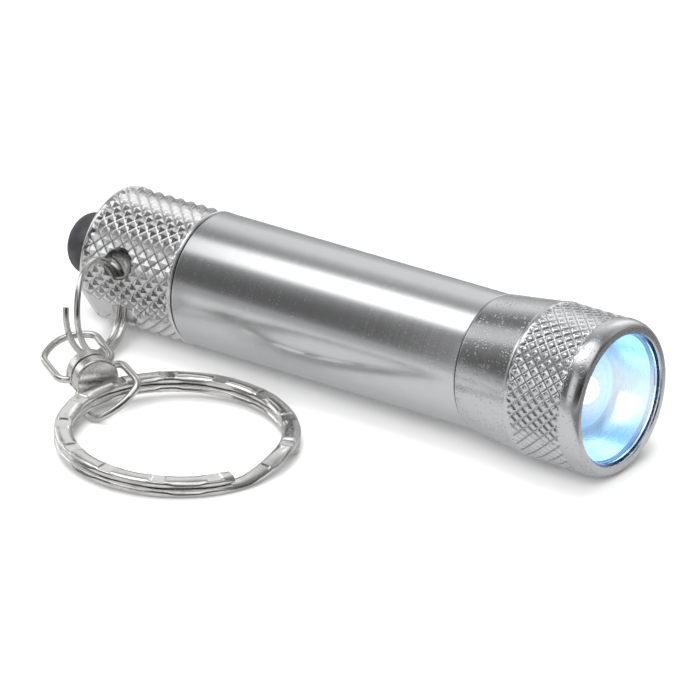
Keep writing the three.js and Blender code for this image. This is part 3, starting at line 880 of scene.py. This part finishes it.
# %% The split ring tree
ring_tree, given, result = new_tree(
    "split ring", "GeometryNodeTree",
    [("Radius", FLOAT, 1.0), ("Width", FLOAT, 0.1), ("Height", FLOAT, 0.1),
     ("Corner", FLOAT, 0.05), ("Start", FLOAT, 0.0), ("End", FLOAT, 360.0),
     ("Step", FLOAT, 0.1), ("Step From", FLOAT, 300.0), ("Step To", FLOAT, 340.0),
     ("Base", FLOAT, 0.0), ("Splay", FLOAT, 0.0), ("Splay To", FLOAT, 170.0),
     ("Presses", WHOLE, 13), ("Press Depth", FLOAT, 0.0), ("Press Length", FLOAT, 0.001),
     ("Crown", FLOAT, 0.0), ("Crown At Press", FLOAT, 0.0), ("Squeeze", FLOAT, 0.0),
     ("Samples", WHOLE, 600), ("Finish", MATERIAL, None)],
    [("Mesh", GEOMETRY)])


def keep(tree, geometry, name, value, kind="FLOAT"):
    """Store a value on every point, to be read again after the sweep."""
    stored = place(tree, "GeometryNodeStoreNamedAttribute", {"Geometry": geometry},
                   data_type=kind, domain="POINT")
    stored.inputs["Name"].default_value = name
    plug(tree, value, next(s for s in stored.inputs if s.name == "Value" and s.enabled))
    return stored


def recall(tree, name, kind="FLOAT"):
    read = place(tree, "GeometryNodeInputNamedAttribute", data_type=kind)
    read.inputs["Name"].default_value = name
    return read.outputs[0]


def fine_line(tree, end, count):
    """A straight line of many points, and how far along it each point is."""
    line = place(tree, "GeometryNodeCurvePrimitiveLine", {"Start": (0, 0, 0), "End": end})
    fine = place(tree, "GeometryNodeResampleCurve", {"Curve": line, "Count": count})
    share = place(tree, "GeometryNodeSplineParameter")
    return fine, Number(tree, share.outputs[0])


def sweep(tree, path, section):
    """Carry a section along a path, and close both ends."""
    return place(tree, "GeometryNodeCurveToMesh",
                 {"Curve": path, "Profile Curve": section, "Fill Caps": True})


straight, share = fine_line(ring_tree, (0, 0, 1), given["Samples"])
path = keep(ring_tree, straight, "turn",
            given["Start"] + (given["End"] - given["Start"]) * share)
section = place(ring_tree, "GeometryNodeCurvePrimitiveQuadrilateral",
                {"Width": given["Width"], "Height": given["Height"]})
rounded = place(ring_tree, "GeometryNodeFilletCurve",
                {"Curve": section, "Count": 6, "Radius": given["Corner"]},
                mode="POLY")
even = place(ring_tree, "GeometryNodeResampleCurve",
             {"Curve": rounded, "Count": 40})
here = place(ring_tree, "GeometryNodeInputPosition")
outline = keep(ring_tree, even, "section", here, "FLOAT_VECTOR")
swept = sweep(ring_tree, path, outline)

# %% Bend the sweep into a ring
turn = Number(ring_tree, recall(ring_tree, "turn"))
out_way, up_way, _ = parts(ring_tree, recall(ring_tree, "section", "FLOAT_VECTOR"))
pitch = 360 / given["Presses"]
off_middle = (turn + pitch * 0.5).do("FLOORED_MODULO", pitch) - pitch * 0.5
from_press = off_middle.do("ABSOLUTE") * math.radians(1) * given["Radius"]
relaxed = smooth_step(from_press, given["Press Length"] * 0.45,
                      given["Press Length"] * 1.15)
crown = given["Crown At Press"] + (given["Crown"] - given["Crown At Press"]) * relaxed
reach_out = (out_way / (given["Width"] * 0.5)).do("ABSOLUTE")
round_over = 1 - (1 - (reach_out * reach_out).do("MINIMUM", 1.0)).do("SQRT")
crowned = up_way * (1 - crown * round_over)
pressed = 1 - smooth_step(from_press, given["Press Length"] * 0.46,
                          given["Press Length"] * 0.54)
outer_side = (turn - (given["Step From"] + given["Step To"]) * 0.5).do("SIGN")
lid = given["Height"] * 0.5 - given["Press Depth"] * pressed
up_cut = (crowned * outer_side).do("MINIMUM", lid) * outer_side
out_cut = out_way * (1 + given["Squeeze"] * (1 - relaxed))
rise = (given["Base"] + given["Step"] * smooth_step(turn, given["Step From"],
                                                    given["Step To"])
        - given["Splay"] * (1 - smooth_step(turn, given["Start"], given["Splay To"])))
angle = turn * math.radians(1)
bent = vector(ring_tree, (given["Radius"] + out_cut) * angle.do("COSINE"),
              (given["Radius"] + out_cut) * angle.do("SINE"), rise + up_cut)
shaped = place(ring_tree, "GeometryNodeSetPosition",
               {"Geometry": swept, "Position": bent})
end_tree(ring_tree, shaped, given["Finish"], result)


# %% [markdown]
# Each ring needs its own frame: its centre, its axis, and the direction where its turn
# is zero. The small ring starts at its splayed free end, hangs through the cap and
# ends beside itself. The key ring lies nearly flat, with one edge lifted a little by
# the swivel.

# %% Ring frames
def ring_frame(centre, axis, outwards):
    across = (outwards - axis * outwards.dot(axis)).normalized()
    onward = axis.cross(across)
    turn = Matrix((across, onward, axis)).transposed().to_4x4()
    return Matrix.Translation(centre) @ turn


# %% Small split ring
WIRE_RADIUS = 0.33
small_ring = grow("small_ring", ring_tree, {
    "Radius": SMALL_RING_RADIUS * MM, "Width": 2 * WIRE_RADIUS * MM,
    "Height": 2 * WIRE_RADIUS * MM, "Corner": 0.999 * WIRE_RADIUS * MM,
    "Start": -20.0, "End": 600.0, "Step": SMALL_RING_PITCH * MM,
    "Step From": 255.0, "Step To": 350.0, "Base": -SMALL_RING_PITCH * MM,
    "Splay": 0.6 * MM, "Splay To": 170.0, "Samples": 420, "Finish": wire_finish})
small_ring_piece = as_piece(
    "small_split_ring_wire", small_ring, wire_finish,
    ring_frame(small_ring_centre, small_ring_normal, Vector((0, -1, 0))))
stands_for(small_ring_piece, "small_ring", "nickel", "small_split_ring")

# %% Key ring
KEY_RING_RADIUS, BAND_WIDTH, TURN_HEIGHT, TURN_GAP = 12.35, 1.9, 0.92, 0.06
KEY_RING_LIFT = 0.95
drum_centre = floor_origin + Vector((10.05, -17.42, 2.45)) * MM
key_ring_middle = floor_origin + Vector((23.9, -21.3, 0)) * MM
to_swivel = drum_centre - key_ring_middle
to_swivel = Vector((to_swivel.x, to_swivel.y, 0)).normalized()
tilt = math.asin(KEY_RING_LIFT / (2 * KEY_RING_RADIUS))
key_ring_axis = (Vector((0, 0, 1)) - to_swivel * math.tan(tilt)).normalized()
key_ring = grow("key_ring", ring_tree, {
    "Radius": (KEY_RING_RADIUS - BAND_WIDTH / 2) * MM, "Width": BAND_WIDTH * MM,
    "Height": TURN_HEIGHT * MM, "Corner": 0.36 * MM, "Start": 4.0, "End": 674.0,
    "Step": (TURN_HEIGHT + TURN_GAP) * MM, "Step From": 318.0, "Step To": 352.0,
    "Base": TURN_HEIGHT / 2 * MM, "Presses": 13, "Press Depth": 0.16 * MM,
    "Press Length": 1.5 * MM, "Crown": 1.0, "Crown At Press": 0.45, "Squeeze": -0.06,
    "Samples": 1150, "Finish": ring_finish})
key_ring_piece = as_piece(
    "pressed_key_ring", key_ring, ring_finish,
    ring_frame(key_ring_middle + Vector((0, 0, KEY_RING_LIFT / 2 * MM)), key_ring_axis,
               Vector((0.93, 0.37, 0))))
stands_for(key_ring_piece, "key_ring", "nickel", "key_ring")

# %% [markdown]
# ## Bent wire by path
# A bail is one wire bent round a former. Its corners are listed as a bent line, and a
# tree rounds them off and sweeps the wire along it. The same tree would bend any wire.

# %% The bent wire tree
wire_tree, given, result = new_tree(
    "bent wire", "GeometryNodeTree",
    [("Path", GEOMETRY, None), ("Wire Radius", FLOAT, 0.1), ("Bend Radius", FLOAT, 0.1),
     ("Spacing", FLOAT, 0.001), ("Finish", MATERIAL, None)], [("Mesh", GEOMETRY)])
bends = place(wire_tree, "GeometryNodeFilletCurve",
              {"Curve": given["Path"], "Count": 10, "Radius": given["Bend Radius"],
               "Limit Radius": True}, mode="POLY")
even = place(wire_tree, "GeometryNodeResampleCurve",
             {"Curve": bends, "Length": given["Spacing"]}, mode="LENGTH")
wire_round = place(wire_tree, "GeometryNodeCurvePrimitiveCircle",
                   {"Resolution": 20, "Radius": given["Wire Radius"]})
end_tree(wire_tree, sweep(wire_tree, even, wire_round), given["Finish"], result)


# %% A bent line as a curve
def line_curve(name, points):
    curve = bpy.data.curves.new(name, "CURVE")
    curve.dimensions = "3D"
    spline = curve.splines.new("POLY")
    spline.points.add(len(points) - 1)
    for corner, point in zip(spline.points, points):
        corner.co = (*point, 1)
    return curve


# %% [markdown]
# ## The swivel
# Two shallow cups meet on a rivet, so that the ring can turn without twisting the
# wire. Each cup holds the ends of a wire bail in two side holes. The cups are turned
# on the rivet's axis, and the holes are drilled with a Boolean.

# %% Swivel axes
DRUM_RADIUS, CUP_DEPTH, CUP_GAP, CUP_WALL = 2.3, 1.4, 0.3, 0.4
PIVOT_OFFSET, PIVOT_HOLE, RIVET_RADIUS = 0.85, 0.6, 0.6
BAIL_WIRE, BAIL_HALF_WIDTH, PIN_REACH, BEND_RADIUS = 0.38, 3.0, 1.45, 1.5
drum_axis = Vector((0.871, -0.491, 0)).normalized()


def cross_axis(roll):
    level = Vector((-drum_axis.y, drum_axis.x, 0)) * math.cos(math.radians(roll))
    return level + Vector((0, 0, math.sin(math.radians(roll))))


front_cross, rear_cross = cross_axis(33), cross_axis(15)
front_pivot = drum_centre + drum_axis * PIVOT_OFFSET * MM
rear_pivot = drum_centre - drum_axis * PIVOT_OFFSET * MM


def along_drum(sign):
    """Carries a turned shape from the X axis to the drum, facing either way."""
    turn = Vector((1, 0, 0)).rotation_difference(drum_axis * sign)
    return Matrix.Translation(drum_centre) @ turn.to_matrix().to_4x4()


# %% Cups and rivet
def swivel_cup(name, sign, cross, pivot, hole):
    opening, closed = CUP_GAP / 2, CUP_GAP / 2 + CUP_DEPTH
    inner = DRUM_RADIUS - CUP_WALL
    cup = turned([
        (closed, hole), *arc((closed - 0.25, DRUM_RADIUS - 0.25), 0.25, 0, 90, 6),
        (opening + 0.06, DRUM_RADIUS), (opening, DRUM_RADIUS - 0.06),
        (opening, inner + 0.04), (opening + 0.04, inner),
        (closed - CUP_WALL, inner), (closed - CUP_WALL, hole),
    ], 128)
    piece = as_piece(name, cup, cup_finish, along_drum(sign))
    drill = bmesh.new()
    bmesh.ops.create_cone(drill, cap_ends=True, segments=48, radius1=PIVOT_HOLE * MM,
                          radius2=PIVOT_HOLE * MM, depth=2 * (DRUM_RADIUS + 1) * MM)
    cut_away(piece, [as_piece("drill", drill, cup_finish,
                              Matrix.Translation(pivot) @ facing(cross))])
    return piece


front_cup = swivel_cup("swivel_cup_front", 1, front_cross, front_pivot, 0.0)
stands_for(front_cup, "front_cup", "nickel", "swivel_front_cup")
rear_cup = swivel_cup("swivel_cup_rear", -1, rear_cross, rear_pivot, RIVET_RADIUS + 0.2)
stands_for(rear_cup, "rear_cup", "nickel", "swivel_rear_cup")

head_at = CUP_GAP / 2 + CUP_DEPTH + 0.25
shank_end = CUP_GAP / 2 + CUP_DEPTH - CUP_WALL - 0.2
dome_at, DOME_RADIUS, DOME_RISE = head_at + 0.15, 1.2, 0.35
turned_piece("swivel_rivet_dome", [
    (-shank_end, 0), (-shank_end, RIVET_RADIUS), (head_at, RIVET_RADIUS),
    (head_at, DOME_RADIUS), (dome_at, DOME_RADIUS),
    *[(dome_at + DOME_RISE * math.sin(math.radians(t)),
       DOME_RADIUS * math.cos(math.radians(t))) for t in range(15, 90, 15)],
    (dome_at + DOME_RISE, 0),
], 64, cup_finish, "front_cup", "nickel", "swivel_rivet", matrix=along_drum(-1))


# %% Bails
def bail(name, pivot, cross, wanted, leg, bow):
    outward = (wanted - cross * wanted.dot(cross)).normalized()

    def at(across, out):
        return pivot + cross * across * MM + outward * out * MM

    corners = [at(PIN_REACH, 0), at(BAIL_HALF_WIDTH, 0), at(BAIL_HALF_WIDTH, leg)]
    corners += [at(q * BAIL_HALF_WIDTH, leg + bow * (1 - q * q))
                for q in (0.7, 0.4, 0.12, -0.12, -0.4, -0.7)]
    corners += [at(-BAIL_HALF_WIDTH, leg), at(-BAIL_HALF_WIDTH, 0), at(-PIN_REACH, 0)]
    shape = grow(name, wire_tree, {
        "Wire Radius": BAIL_WIRE * MM, "Bend Radius": BEND_RADIUS * MM,
        "Spacing": 0.1 * MM, "Finish": wire_finish}, line_curve(name, corners))
    return as_piece(name, shape, wire_finish, Matrix.Identity(4))


rear_bail = bail("bail_wire_rear", rear_pivot, rear_cross, Vector((-0.83, 0.53, 0.17)),
                 5.0, 1.6)
stands_for(rear_bail, "rear_bail", "nickel", "swivel_rear_bail")
front_bail = bail("bail_wire_front", front_pivot, front_cross,
                  Vector((0.892, -0.441, -0.12)), 4.9, 0.8)
stands_for(front_bail, "front_bail", "nickel", "swivel_front_bail")

# %% [markdown]
# ## Contact springs
# Two conical springs press the cells together. A coil is a path by rule, so a tree
# winds a straight line into a cone and sweeps the wire along it.

# %% The spring tree
spring_tree, given, result = new_tree(
    "cone spring", "GeometryNodeTree",
    [("From", FLOAT, 0.0), ("To", FLOAT, 1.0), ("First Radius", FLOAT, 1.0),
     ("Last Radius", FLOAT, 1.0), ("Turns", FLOAT, 4.0), ("Wire Radius", FLOAT, 0.1),
     ("Finish", MATERIAL, None)], [("Mesh", GEOMETRY)])
STEPS_PER_TURN = 40
straight, share = fine_line(spring_tree, (1, 0, 0), given["Turns"] * STEPS_PER_TURN)
winding = share * given["Turns"] * math.tau
coil_radius = (given["First Radius"]
               + (given["Last Radius"] - given["First Radius"]) * share)
wound = vector(spring_tree, given["From"] + (given["To"] - given["From"]) * share,
               coil_radius * winding.do("COSINE"), coil_radius * winding.do("SINE"))
coil = place(spring_tree, "GeometryNodeSetPosition",
             {"Geometry": straight, "Position": wound})
coil_round = place(spring_tree, "GeometryNodeCurvePrimitiveCircle",
                   {"Resolution": 12, "Radius": given["Wire Radius"]})
end_tree(spring_tree, sweep(spring_tree, coil, coil_round), given["Finish"], result)

# %% Both springs
SPRING_WIRE = 0.25
for name, node, body, ends, radii, turns in (
        ("spring_rear", "rear_contact_spring", "tail_carrier", (12.8, 18.2),
         (2.6, 1.6), 4),
        ("spring_front", "front_contact_spring", "head_carrier", (40.7, 50.5),
         (1.8, 2.8), 5)):
    shape = grow(name, spring_tree, {
        "From": (ends[0] + SPRING_WIRE) * MM, "To": (ends[1] - SPRING_WIRE) * MM,
        "First Radius": radii[0] * MM, "Last Radius": radii[1] * MM,
        "Turns": float(turns), "Wire Radius": SPRING_WIRE * MM, "Finish": spring_finish})
    stands_for(as_piece(name, shape, spring_finish), body, "spring_wire", node)

# %% [markdown]
# ## Hidden pieces
# The cells and their sleeve, the seals, the switch and the board keep their CAD shape,
# because nothing of them shows. They still get a finish of their own, which shows when
# the torch is taken apart.

# %% Finishes for the CAD pieces
CAD_FINISHES = {
    "battery_sleeve": sleeve_finish, "tail_o_ring": seal_finish,
    "head_o_ring": seal_finish, "switch_plunger": nylon_finish,
    "switch_housing": nylon_finish, "switch_dome": spring_finish,
    "switch_retainer_ring": brass_finish, "led_board": board_finish,
    "cell_1": can_finish, "cell_2": can_finish, "cell_3": can_finish,
    "cell_4": can_finish,
}
for node, finish in CAD_FINISHES.items():
    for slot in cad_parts[node].material_slots:
        slot.material = finish
print("CAD pieces finished:", len(CAD_FINISHES))

# %% [markdown]
# ## Floor, light and camera
# The object lies on a plain pale floor. Mirror-like metal sees it with painted shade and
# painted light: in reflections it is darker, darkest ahead of the lamp, and near the torch
# it gets a faint painted glow. Polished metal shows the room, so the light is a studio in
# bands that run along the torch: a white softbox overhead, a darker side towards the
# viewer, and greys behind. The bands are drawn by the angle about the torch's length, so
# they read the same from every side. The studio gets dimmer towards both ends, which
# darkens the flared collar and the bezel. Pale windows above the horizon, beside the
# torch and behind its tail, make the knurl sparkle.

# %% Floor
FLOOR_HALF = 4.0
floor_shape = bmesh.new()
bmesh.ops.create_grid(floor_shape, x_segments=1, y_segments=1, size=FLOOR_HALF)
floor_mesh = bpy.data.meshes.new("floor")
floor_shape.to_mesh(floor_mesh)
floor_shape.free()
floor = add_object("floor", floor_mesh)
floor_finish, tree, shader = new_material("pale_floor")
seen_by = place(tree, "ShaderNodeLightPath")
here = place(tree, "ShaderNodeTexCoord")
floor_x, floor_y, _ = parts(tree, here.outputs["Object"])
far_off = (floor_x * floor_x + floor_y * floor_y).do("SQRT")
# Painted shade and painted light, seen only in reflections: the floor is darker there and
# darker still ahead of the lamp, and near the torch it gets a faint painted glow.
far_side = smooth_step(far_off, 0.045, 0.1)
painted_shade_ahead = smooth_step(floor_x, 0.041, 0.05) * (1 - smooth_step(floor_x, 0.07, 0.12))
mirrored = Number(tree, seen_by.outputs["Is Glossy Ray"])
FLOOR_GREY, PAINTED_MIRROR_SHADE = 0.93, 0.69
painted_mirror_glow = mirrored * (1 - far_side) * (1 - painted_shade_ahead * 0.9)
set_looks(tree, shader, {
    "Base Color": FLOOR_GREY - mirrored * (PAINTED_MIRROR_SHADE + painted_shade_ahead * 0.14),
    "Emission Color": mix_colour(tree, painted_mirror_glow, (0, 0, 0), (0.26, 0.26, 0.26)),
    "Emission Strength": 1.0, "Roughness": 0.9, "Specular IOR Level": 0.1})
floor_mesh.materials.append(floor_finish)

# %% Studio bands
world = bpy.data.worlds.new("studio")
bpy.context.scene.world = world
world.use_nodes = True
tree = world.node_tree
background = tree.nodes["Background"]
look = place(tree, "ShaderNodeTexCoord")
length_way, towards, above = parts(tree, look.outputs["Generated"])
around = above.do("ARCTAN2", -towards) / math.tau + 0.5
BANDS = ((-10, 0.5), (4, 0.4), (7, 0.13), (20, 0.09), (36, 0.11), (50, 0.22),
         (60, 0.4), (66, 1.7), (91, 1.7), (99, 0.42), (108, 0.3), (122, 0.55),
         (130, 0.75), (158, 0.75), (166, 0.5), (180, 0.5))
BRIGHTEST = 1.7
ramp = place(tree, "ShaderNodeValToRGB", {0: around})
for stop, (degrees, grey) in enumerate(BANDS):
    spot = (degrees + 180) / 360
    edge = (ramp.color_ramp.elements[stop] if stop < 2
            else ramp.color_ramp.elements.new(spot))
    edge.position = spot
    edge.color = (*[grey / BRIGHTEST] * 3, 1)
tail_end = 1 - smooth_step(length_way, -0.74, -0.6)
lamp_end = smooth_step(length_way, -0.3, 0.1)
straight_ahead = smooth_step(length_way, 0.45, 0.8)
overhead_part = smooth_step(above, 0.4, 0.55)
dimmed = (1 - tail_end * 0.68 * overhead_part - lamp_end * 0.4
          - straight_ahead * 0.42)
beside = (smooth_step(length_way, -0.42, -0.3) * (1 - smooth_step(length_way, 0.05, 0.25))
          + 1 - smooth_step(length_way, -0.94, -0.87))
side_window = beside * smooth_step(above, 0.0, 0.2) * (1 - smooth_step(above, 0.6, 0.75))
plug(tree, mix_colour(tree, side_window * 0.45, ramp.outputs[0], (1, 1, 1)),
     background.inputs[0])
plug(tree, dimmed * BRIGHTEST, background.inputs[1])

# %% Soft lights on the floor
# They light the floor softly and stay out of the metal's reflections.
for name, spot, energy in (("overhead_light", (-0.15, 0.1, 0.6), 3.0),
                           ("front_light", (0.2, -0.45, 0.4), 4.5)):
    light_data = bpy.data.lights.new(name, "AREA")
    light_data.size, light_data.energy = 0.5, energy
    light = add_object(name, light_data)
    light.location = spot
    light.rotation_euler = (-Vector(spot)).to_track_quat("-Z", "Y").to_euler()
    light.visible_glossy = False

# %% Camera
AZIMUTH, ELEVATION = math.radians(37.009), math.radians(25.145)
DISTANCE, ASIDE, ABOVE = 902.45, 1.094, 3.451
back = Vector((math.sin(AZIMUTH) * math.cos(ELEVATION),
               -math.cos(AZIMUTH) * math.cos(ELEVATION), math.sin(ELEVATION)))
right = Vector((math.cos(AZIMUTH), math.sin(AZIMUTH), 0))
up = back.cross(right)
aim = floor_origin + Vector((28.1, 0, 0)) * MM
camera_data = bpy.data.cameras.new("camera")
camera = add_object("camera", camera_data)
camera.matrix_world = Matrix.Translation(
    aim + (back * DISTANCE + right * ASIDE + up * ABOVE) * MM
) @ Matrix((right, up, back)).transposed().to_4x4()
camera_data.sensor_width, camera_data.lens = 36, 458.09
camera_data.clip_start, camera_data.clip_end = 0.05, 20
bpy.context.scene.camera = camera
bpy.context.scene.view_settings.view_transform = "Standard"
